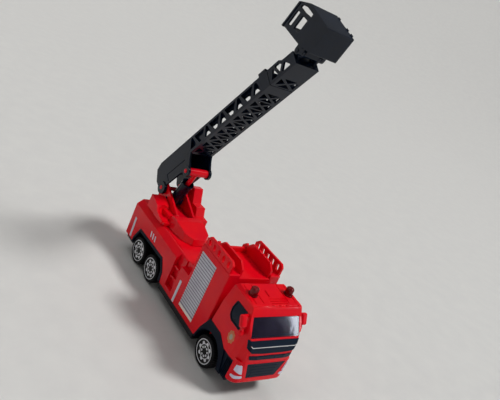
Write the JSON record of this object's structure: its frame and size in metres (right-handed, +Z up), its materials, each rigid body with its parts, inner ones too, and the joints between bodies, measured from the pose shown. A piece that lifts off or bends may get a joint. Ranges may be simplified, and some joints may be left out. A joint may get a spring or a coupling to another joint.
{
  "type": "toy ladder fire engine",
  "caption": "Toy aerial-ladder fire engine with rolling wheels, a turning turntable and a raised lattice boom that lifts, extends and carries a tilting rescue basket.",
  "frame": {"origin": "on the ground, under the middle of the whole truck's bounding box", "axes": "+Z up; the cab faces -Y; -X is the truck's right-hand side"},
  "size_m": [0.0538, 0.1758, 0.223],
  "materials": {
    "red_body": "glossy",
    "red_rod": "glossy",
    "black_boom": "semi-gloss",
    "black_trim": "semi-gloss",
    "black_chassis": "satin",
    "black_cylinder": "glossy",
    "tyre_black": "matte",
    "hub_black": "semi-gloss",
    "dark_glazing": "glossy",
    "beacon_red": "glossy",
    "shutter_silver": "satin",
    "reflective_white": "satin",
    "grille_black": "semi-gloss",
    "lamp_silver": "satin",
    "bright_line": "polished",
    "steel": "brushed",
    "seat_black": "matte"
  },
  "bodies": {
    "truck": {"beacon_left": "beacon_red", "beacon_right": "beacon_red", "body_shell": "red_body", "boom_cradle": "red_body", "bumper": "red_body", "cab_seats": "seat_black", "cab_shell": "red_body", "cab_step_left": "black_trim", "cab_step_right": "black_trim", "chassis": "black_chassis", "chassis_screws": "steel", "door_window_left": "dark_glazing", "door_window_right": "dark_glazing", "front_arch_left": "black_trim", "front_arch_right": "black_trim", "grille_band": "grille_black", "grille_lower": "grille_black", "grille_slot": "grille_black", "grille_trim": "bright_line", "handrail_left": "red_body", "handrail_right": "red_body", "headlamps_left": "lamp_silver", "headlamps_right": "lamp_silver", "mirror_left": "red_body", "mirror_right": "red_body", "rear_arch_left": "black_trim", "rear_arch_right": "black_trim", "reflective_stripes": "reflective_white", "shutter_left": "shutter_silver", "shutter_right": "shutter_silver", "windscreen": "dark_glazing"},
    "wheels_front": {"axle_front": "steel", "hub_front_left": "hub_black", "hub_front_right": "hub_black", "tyre_front_left": "tyre_black", "tyre_front_right": "tyre_black"},
    "wheels_mid": {"axle_mid": "steel", "hub_mid_left": "hub_black", "hub_mid_right": "hub_black", "tyre_mid_left": "tyre_black", "tyre_mid_right": "tyre_black"},
    "wheels_rear": {"axle_rear": "steel", "hub_rear_left": "hub_black", "hub_rear_right": "hub_black", "tyre_rear_left": "tyre_black", "tyre_rear_right": "tyre_black"},
    "turntable": {"turntable": "red_body", "turntable_washer": "steel", "turntable_screw": "steel", "boom_bracket": "red_body", "control_console": "red_body", "access_steps": "red_body"},
    "boom": {"boom_outer": "black_boom", "section_stop": "black_boom", "boom_pivot_pin": "red_rod"},
    "boom_inner": {"boom_inner": "black_boom"},
    "basket": {"basket": "black_boom", "basket_pin": "steel"},
    "cylinder_barrel": {"cylinder_barrel": "black_cylinder"},
    "cylinder_rod": {"cylinder_rod": "red_rod"}
  },
  "joints": [
    {"name": "front_wheels_roll", "type": "hinge", "parent": "truck", "child": "wheels_front", "pos_m": [0, -0.05643, 0.0105], "axis": [1, 0, 0], "continuous": true},
    {"name": "mid_wheels_roll", "type": "hinge", "parent": "truck", "child": "wheels_mid", "pos_m": [0, 0.03017, 0.0105], "axis": [1, 0, 0], "continuous": true},
    {"name": "rear_wheels_roll", "type": "hinge", "parent": "truck", "child": "wheels_rear", "pos_m": [0, 0.05307, 0.0105], "axis": [1, 0, 0], "continuous": true},
    {"name": "turntable_turn", "type": "hinge", "parent": "truck", "child": "turntable", "pos_m": [0, 0.04957, 0.0415], "axis": [0, 0, 1], "continuous": true},
    {"name": "boom_elevation", "type": "hinge", "parent": "turntable", "child": "boom", "pos_m": [0, 0.07257, 0.0565], "axis": [-1, 0, 0], "range_deg": [-55, 12]},
    {"name": "boom_extension", "type": "slide", "parent": "boom", "child": "boom_inner", "axis": [0, -0.5621, 0.8271], "range_m": [0, 0.055]},
    {"name": "basket_tilt", "type": "hinge", "parent": "boom_inner", "child": "basket", "pos_m": [0, -0.00475, 0.19607], "axis": [1, 0, 0], "range_deg": [-20, 70]},
    {"name": "cylinder_swing", "type": "hinge", "parent": "turntable", "child": "cylinder_barrel", "pos_m": [0, 0.06457, 0.052], "axis": [-1, 0, 0], "range_deg": [-61, 13.5]},
    {"name": "rod_swing", "type": "hinge", "parent": "boom", "child": "cylinder_rod", "pos_m": [0, 0.05198, 0.08253], "axis": [-1, 0, 0], "range_deg": [-6, 1.5]}
  ],
  "couplings": [
    {"joint": "cylinder_swing", "follows": "boom_elevation", "ratio": 1.1},
    {"joint": "rod_swing", "follows": "boom_elevation", "ratio": 0.1}
  ]
}
